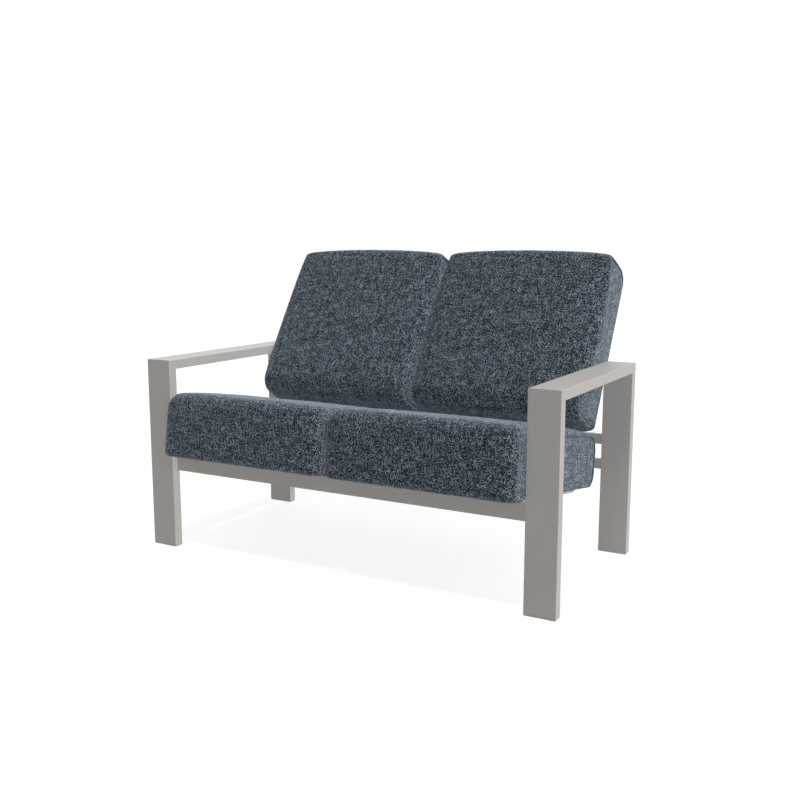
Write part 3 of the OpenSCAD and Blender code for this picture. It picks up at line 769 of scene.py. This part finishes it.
def blow_up(mesh, form, name):
    """Runs the cloth with pressure and returns how far each point moves."""
    obj = to_object(name, mesh)
    data = obj.data
    obj.vertex_groups.new(name="seams").add(sorted(seam_points(form)), 1.0, "REPLACE")
    cloth = obj.modifiers.new("filling", "CLOTH").settings
    for setting, value in CLOTH_SETTINGS.items():
        setattr(cloth, setting, value)
    cloth.effector_weights.gravity = 0
    for step in range(1, CLOTH_FRAMES + 1):
        scene.frame_set(step)
    swollen = obj.evaluated_get(bpy.context.evaluated_depsgraph_get()).data
    moves = [after.co - before.co for after, before in zip(swollen.vertices, data.vertices)]
    bpy.data.objects.remove(obj)
    bpy.data.meshes.remove(data)
    scene.frame_set(1)
    return moves


# %% Keep a little of the swelling
FULLNESS, FULLNESS_AT = 0.0032, 0.022
RESTING, SIDEWAYS = 0.3, 0.7
UNDER_BACK, FOOT_OF_BACK = 0.36, 0.045


def filled(form, name, held):
    """The lofted cover with a little of the cloth's swelling; held says where none may stand out."""
    mesh = loft(form)
    mesh.verts.ensure_lookup_table()
    bmesh.ops.recalc_face_normals(mesh, faces=mesh.faces)
    normals = normals_of(mesh)
    swell = []
    for vertex, normal, move in zip(mesh.verts, normals, blow_up(mesh, form, name)):
        out = FULLNESS * math.tanh(move.dot(normal) / FULLNESS_AT)
        if held(vertex.co, normal):
            out = min(out, 0.0)
        vertex.co += normal * out
        swell.append(out * 1000)
    print(name, "stands out by", round(max(swell), 1), "mm and draws in by", round(-min(swell), 1), "mm")
    return mesh


def seat_held(co, normal):
    """Under the seat cushion, at its sides and where the back cushion rests on it."""
    return normal.z < -RESTING or abs(normal.x) > SIDEWAYS or co.y > UNDER_BACK


def back_held(co, normal):
    """Behind the back cushion, at its sides and along its foot."""
    return normal.y > RESTING or abs(normal.x) > SIDEWAYS or co.z < FOOT_OF_BACK


seat_mesh = filled(seat_form, "seat filling", seat_held)
back_mesh = filled(back_form, "back filling", back_held)

# %% [markdown]
# ## Seams and small folds
# The seam itself pulls the cloth in by a couple of millimetres, and the cloth puckers a
# little beside it. These are moves of the points, made after the filling. Where the cushion
# lies on its slats they only go inwards, so that it slides over them freely. In front of
# the front rail nothing carries the seat cushion, so its lower edge sags there.

# %% Seams, puckers and sag
SEAM_DEPTH = 0.0022
PUCKER_DEPTH, PUCKER_REACH, PUCKER_SCALE = 0.0008, 0.012, 45.0
SOFT_DEPTH, SOFT_SCALE = 0.0008, 9.0
SAG, SAG_RUN, SAG_HEIGHT = 0.006, 0.030, 0.090


def smooth_step(x):
    """Rises smoothly from 0 at 0 to 1 at 1."""
    x = min(1.0, max(0.0, x))
    return x * x * (3 - 2 * x)


def sew(mesh, form, seed, held):
    """Draws the seams in and lays small folds beside them; held says where none may stand out."""
    normals = normals_of(mesh)
    rims = seam_points(form)
    shift = Vector((seed, 0, seed))
    for i, vertex in enumerate(mesh.verts):
        co = vertex.co
        beside = max(0.0, form.seam - abs(co.x))
        fold = noise.noise(co * PUCKER_SCALE + shift) * PUCKER_DEPTH * math.exp(-beside / PUCKER_REACH)
        soft = noise.noise(co * SOFT_SCALE + shift) * SOFT_DEPTH
        out = fold + soft - (SEAM_DEPTH if i in rims else 0.0)
        if held(co, normals[i]):
            out = min(out, 0.0)
        vertex.co = co + normals[i] * out


def sag_front(mesh):
    """Lowers the seat cushion's underside in front of the front rail."""
    for vertex in mesh.verts:
        share = smooth_step(-vertex.co.y / SAG_RUN) * (1 - smooth_step(vertex.co.z / SAG_HEIGHT))
        vertex.co.z -= SAG * share


# %% [markdown]
# ## Zips and stitches
# The covers come off for washing, so each has a coil zip in its rear face, sunk in a
# groove. The tape is woven, the teeth reach over the middle from both sides by turns, and
# the slider's tab lies flat along the teeth. Every part is a thin plate with a slightly
# smaller rear face. A row of stitches on either side holds the tape: each is laid on the
# cover with a ray cast at it, because the cloth isn't quite flat there.

# %% The zip's groove
ZIP_LENGTH, ZIP_WIDTH = 0.380, 0.008
GROOVE_DEPTH, GROOVE_LIP, GROOVE_ROOM, GROOVE_END = 0.0046, 0.0025, 0.004, 0.010
REAR_FACE_DEPTH = 0.02


def sink_zip(mesh, rear, up):
    """Presses the zip's groove into the rear face."""
    for vertex in mesh.verts:
        if vertex.co.y > rear - REAR_FACE_DEPTH:
            beside = 1 - smooth_step((abs(vertex.co.z - up) - ZIP_WIDTH / 2) / GROOVE_LIP)
            within = 1 - smooth_step((abs(vertex.co.x) - ZIP_LENGTH / 2 - GROOVE_ROOM) / GROOVE_END)
            vertex.co.y -= GROOVE_DEPTH * beside * within


# %% Plates and stitches
STITCH_LENGTH, STITCH_STEP, STITCH_THICK, STITCH_AWAY = 0.0034, 0.0048, 0.0004, 0.0095
TAPE, TEETH, THREAD = range(3)


def plate(mesh, outline, depths, inset, finish):
    """A closed plate over an outline (across, up) between two depths, smaller at the rear."""
    cloth = mesh.loops.layers.uv["cloth"]
    centre = sum((Vector(p) for p in outline), Vector((0, 0))) / len(outline)
    rings = []
    for depth, cut in zip(depths, (0, inset)):
        rings.append([mesh.verts.new((x - math.copysign(cut, x - centre.x), depth,
                                      z - math.copysign(cut, z - centre.y))) for x, z in outline])
    low, high = rings
    faces = [mesh.faces.new(low[::-1]), mesh.faces.new(high)]
    for i in range(len(low)):
        j = (i + 1) % len(low)
        faces.append(mesh.faces.new((low[i], low[j], high[j], high[i])))
    for face in faces:
        face.material_index = finish
        for loop in face.loops:
            loop[cloth].uv = (loop.vert.co.x, loop.vert.co.z)


def box_outline(x0, x1, z0, z1):
    """The four corners of a strip."""
    return [(x0, z0), (x1, z0), (x1, z1), (x0, z1)]


def stitch(mesh, x, z, depth):
    """A short thread, pointed at both ends."""
    ends = [mesh.verts.new((x + s * STITCH_LENGTH / 2, depth - STITCH_THICK, z)) for s in (-1, 1)]
    belt = [mesh.verts.new((x, depth + d * STITCH_THICK, z + u * STITCH_THICK))
            for d, u in ((0, -1), (1, 0), (0, 1), (-1, 0))]
    for i in range(len(belt)):
        for corners in ((ends[0], belt[i], belt[i - 1]), (ends[1], belt[i - 1], belt[i])):
            mesh.faces.new(corners).material_index = THREAD


# %% A whole zip, in the cushion's own space
TAPE_GAP, TAPE_REACH, TAPE_INSET, TAPE_DEPTHS = 0.0003, 0.0035, 0.0001, (-0.0034, -0.0026)
TOOTH_STEP, TOOTH_WIDTH, TOOTH_REACH, TOOTH_LAP = 0.0016, 0.0011, 0.0017, 0.0004
TOOTH_INSET, TEETH_DEPTHS, BARE_TEETH = 0.0002, (-0.0026, -0.0013), 3
SLIDER_FROM_END, SLIDER_INSET, SLIDER_DEPTHS = 0.014, 0.0004, (-0.0028, -0.0009)
SLIDER_SHAPE = ((-0.005, 0.0024), (0.002, 0.0032), (0.005, 0.0022))
TAB_BACK, TAB_REACH, TAB_HALF, TAB_POINTS, TAB_DEPTHS = 0.010, 0.009, 0.0021, 16, (-0.0009, -0.0003)
RAY_START = 0.05


def zip_mesh(surface, rear, up):
    """Tape, teeth, slider and tab about the groove's middle, and stitches on the cover."""
    mesh = bmesh.new()
    mesh.loops.layers.uv.new("cloth")
    half = ZIP_LENGTH / 2
    for side in (-1, 1):
        reach = sorted((side * TAPE_GAP, side * TAPE_REACH))
        plate(mesh, box_outline(-half, half, *reach), TAPE_DEPTHS, TAPE_INSET, TAPE)
    for k in range(int(ZIP_LENGTH / TOOTH_STEP) - 2 * BARE_TEETH):
        x = -half + BARE_TEETH * TOOTH_STEP + k * TOOTH_STEP
        side = 1 if k % 2 else -1
        reach = sorted((-side * TOOTH_LAP, side * TOOTH_REACH))
        plate(mesh, box_outline(x, x + TOOTH_WIDTH, *reach), TEETH_DEPTHS, TOOTH_INSET, TEETH)
    slider = half - SLIDER_FROM_END
    outline = [(slider + x, -z) for x, z in SLIDER_SHAPE]
    outline += [(slider + x, z) for x, z in reversed(SLIDER_SHAPE)]
    plate(mesh, outline, SLIDER_DEPTHS, SLIDER_INSET, TEETH)
    tab = [(slider - TAB_BACK + TAB_REACH * math.cos(a), TAB_HALF * math.sin(a))
           for a in (math.tau * k / TAB_POINTS for k in range(TAB_POINTS))]
    plate(mesh, tab, TAB_DEPTHS, TOOTH_INSET, TEETH)
    for vertex in mesh.verts:
        vertex.co += Vector((0, rear, up))
    count = int(ZIP_LENGTH / STITCH_STEP)
    for side in (-1, 1):
        for k in range(count + 1):
            x, z = (k - count / 2) * STITCH_STEP, up + side * STITCH_AWAY
            hit = surface.ray_cast(Vector((x, rear + RAY_START, z)), Vector((0, -1, 0)))[0]
            stitch(mesh, x, z, hit.y)
    return mesh


# %% [markdown]
# ## Foam
# Inside each cover lies a block of cut foam. It is hidden, so it only needs its true size,
# softened ends and the open grain of foam, for whoever takes the cushion apart.

# %% A foam block
WRAP = 0.026
FOAM_ENDS = ((0.0, 0.010), (0.003, 0.004), (0.010, 0.0))
FOAM_SECTIONS = 12
LONG_FACE, SHORT_FACE = even(12), even(4)

seat_block = rounded_outline([
    (SEAT_FRONT + WRAP, WRAP, 0.020, 0, LONG_FACE), (SEAT_REAR - WRAP, WRAP, 0.030, 0, SHORT_FACE),
    (SEAT_REAR - WRAP, SEAT_THICK - SEAT_REAR_DROP - WRAP, 0.050, 0, LONG_FACE),
    (SEAT_FRONT + WRAP, SEAT_THICK - SEAT_BOW / 2 - WRAP, 0.030, 0, SHORT_FACE)])
back_block = rounded_outline([
    (WRAP - BACK_THICK, WRAP, 0.040, 0, SHORT_FACE), (-WRAP, WRAP, 0.020, 0, LONG_FACE),
    (-WRAP, BACK_HEIGHT - WRAP, 0.040, 0, SHORT_FACE),
    (WRAP - BACK_TOP_THICK, BACK_HEIGHT - WRAP, 0.020, 0, LONG_FACE)])
print("foam blocks are", round(CUSHION_WIDTH - 2 * WRAP, 3), "m wide")


def foam_mesh(outline):
    """A block swept across, with its ends drawn in a little."""
    half = CUSHION_WIDTH / 2 - WRAP
    inner = half - FOAM_ENDS[-1][0]
    centre = sum(outline, Vector((0, 0))) / len(outline)
    places = [(x - half, cut) for x, cut in FOAM_ENDS]
    places += [(inner * (2 * k / FOAM_SECTIONS - 1), 0.0) for k in range(1, FOAM_SECTIONS)]
    places += [(half - x, cut) for x, cut in reversed(FOAM_ENDS)]
    mesh = bmesh.new()
    rings = []
    for x, cut in places:
        spots = [p + (centre - p).normalized() * cut for p in outline]
        rings.append([mesh.verts.new((x, p.x, p.y)) for p in spots])
    join_rings(mesh, rings)
    for x, ring in ((-half, rings[0]), (half, rings[-1])):
        tip = mesh.verts.new((x, *centre))
        for i in range(len(ring)):
            mesh.faces.new((ring[i - 1], ring[i], tip))
    return mesh


# %% [markdown]
# ## Put the cushions in their places
# A cushion is made in its own space and then set on its plane, so the two seats share one
# form and so do the two backs, but each has its own small folds.

# %% Cover, foam and zip of a cushion
def place_piece(name, mesh, plane, across, materials, body):
    """Sets a mesh on its plane and makes a piece of it that rides on a body."""
    for vertex in mesh.verts:
        vertex.co = plane.place(across + vertex.co.x, vertex.co.y, vertex.co.z)
    bmesh.ops.recalc_face_normals(mesh, faces=mesh.faces)
    piece = to_object(name, mesh, *materials)
    mesh.free()
    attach(piece, body)
    return piece


def cushion(name, seed, source, form, block, rear, zip_up, held, sags):
    """A finished cushion: its cover with the zip's groove, its foam block and its zip."""
    low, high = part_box(f"{name}_cover")
    across, body = (low.x + high.x) / 2, f"{name}_cushion"
    mesh = source.copy()
    mesh.verts.ensure_lookup_table()
    sew(mesh, form, seed, held)
    if sags:
        sag_front(mesh)
    surface = BVHTree.FromBMesh(mesh)
    sink_zip(mesh, rear, zip_up)
    closure = zip_mesh(surface, rear, zip_up)
    cover = place_piece(f"{name}_cushion_cover", mesh, form.plane, across, [tweed], body)
    cover.data.shade_smooth()
    cover.modifiers.new("smoother", "SUBSURF").levels = 1
    cover.modifiers["smoother"].render_levels = 1
    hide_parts(f"{name}_cover")
    core = place_piece(f"{name}_foam_block", foam_mesh(block), form.plane, across, [foam], body)
    core.data.shade_smooth()
    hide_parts(f"{name}_core")
    closed = place_piece(
        f"{name}_cushion_zip", closure, form.plane, across, [zip_tape, zip_plastic, thread], body)
    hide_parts(f"{name}_zip")
    print(name, "cover, foam and zip:", *(len(p.data.vertices) for p in (cover, core, closed)), "points")


# %% Make the four cushions
FOLD_SEEDS = {"left": 3.7, "right": 11.3}
BACK_SEED_STEP = 5

back_foot = back_box[1].z - max(back_plane.place(0, p.x, p.y - CROWN_LIFT).z for p in back_crown)
back_form.plane = Plane(back_plane.origin + back_plane.up * (back_foot / back_plane.up.y),
                        back_plane.depth, back_plane.up)
for side, seed in FOLD_SEEDS.items():
    cushion(f"{side}_seat", seed, seat_mesh, seat_form, seat_block, rear=SEAT_REAR,
            zip_up=SEAT_ZIP_UP, held=seat_held, sags=True)
    cushion(f"{side}_back", seed + BACK_SEED_STEP, back_mesh, back_form, back_block, rear=-REST_GAP,
            zip_up=BACK_ZIP_UP, held=back_held, sags=False)

# %% [markdown]
# ## Floor, backdrop and light
# The loveseat stands on white, with only a faint shadow under it. The floor shows the
# camera a bright white with a little of its shading left, and lights the loveseat as a
# plain pale floor would. The world does the same: white to the eye, grey as a lamp. The
# photograph has the even light of a product picture, with one clear shadow on the floor
# and none on the frame: the large lamps therefore cast none, and only the sky and a small
# lamp overhead do. The main lamp stands to the right, so the right sides come out palest,
# and a low lamp in front stands for the light that a white studio floor throws up.

# %% Floor
FLOOR_RADIUS, FLOOR_SIDES = 12.0, 96
FLOOR_GLOW, FLOOR_SHADING, FLOOR_PALE = 0.52, 0.60, 0.32


def seen_directly(tree):
    """1 for what the camera, a reflection or a clear piece sees, and 0 for light on its way to a surface."""
    path = add(tree, "ShaderNodeLightPath").outputs
    seen = calc(tree, "MAXIMUM", path["Is Camera Ray"], path["Is Glossy Ray"])
    return calc(tree, "MAXIMUM", seen, path["Is Transmission Ray"])


def white_floor():
    """Glows and shades for the eye, and is plain and pale for the light it throws back."""
    material, tree, plain = start_material("white floor")
    plain.inputs["Base Color"].default_value = (FLOOR_PALE,) * 3 + (1,)
    plain.inputs["Roughness"].default_value = 1.0
    plain.inputs["Specular IOR Level"].default_value = 0.0
    glow = add(tree, "ShaderNodeEmission", {"Strength": FLOOR_GLOW}).outputs[0]
    shading = add(tree, "ShaderNodeBsdfDiffuse", {"Color": (FLOOR_SHADING,) * 3 + (1,)}).outputs[0]
    shown = add(tree, "ShaderNodeAddShader", {0: glow, 1: shading}).outputs[0]
    mixed = add(tree, "ShaderNodeMixShader", {0: seen_directly(tree), 1: plain.outputs[0], 2: shown})
    tree.links.new(mixed.outputs[0], tree.nodes["Material Output"].inputs["Surface"])
    return material


disc = bmesh.new()
bmesh.ops.create_circle(disc, cap_ends=True, segments=FLOOR_SIDES, radius=FLOOR_RADIUS)
floor = to_object("floor", disc, white_floor())
disc.free()
floor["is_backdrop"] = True
print("floor:", 2 * FLOOR_RADIUS, "m across")

# %% World
WORLD_LEVEL = 0.03

world = scene.world or bpy.data.worlds.new("world")
scene.world = world
world.use_nodes = True
tree = world.node_tree
backdrop = tree.nodes["Background"]
level = calc(tree, "MULTIPLY_ADD", seen_directly(tree), 1 - WORLD_LEVEL, WORLD_LEVEL)
backdrop.inputs["Color"].default_value = (1, 1, 1, 1)
tree.links.new(level, backdrop.inputs["Strength"])
print("the world lights at", WORLD_LEVEL)

# %% Lamps
def lamp(name, towards, share, softness=60, shadows=False):
    """A soft lamp far off; at a share of 1 a white card facing it renders white."""
    data = bpy.data.lights.new(name, "SUN")
    data.angle = math.radians(softness)
    data.energy = share * math.pi
    data.use_shadow = shadows
    made = bpy.data.objects.new(name, data)
    made.rotation_euler = Vector(towards).to_track_quat("Z", "Y").to_euler()
    scene.collection.objects.link(made)


lamp("right lamp", (0.82, -0.26, 0.51), 1.04)
lamp("rear top lamp", (0.1, 0.6, 0.8), 0.18)
lamp("top lamp", (0.0, -0.1, 1.0), 0.06)
lamp("overhead lamp", (0.09, -0.38, 1.0), 0.11, softness=2.5, shadows=True)
lamp("low front lamp", (-0.1, -0.55, -0.83), 0.26)
lamp("rear left lamp", (-0.7, 0.6, 0.3), 0.2)
print("lamps:", len(bpy.data.lights))

# %% [markdown]
# ## Finish
# The box round everything that renders is printed; the cloth may stand a little proud
# of the CAD box. The visual model has to stay in the CAD box, apart from a little that
# cloth may stand proud.

# %% Print the visual box
low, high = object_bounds()
print("visual box", [round(x, 3) for x in (*low, *high)])
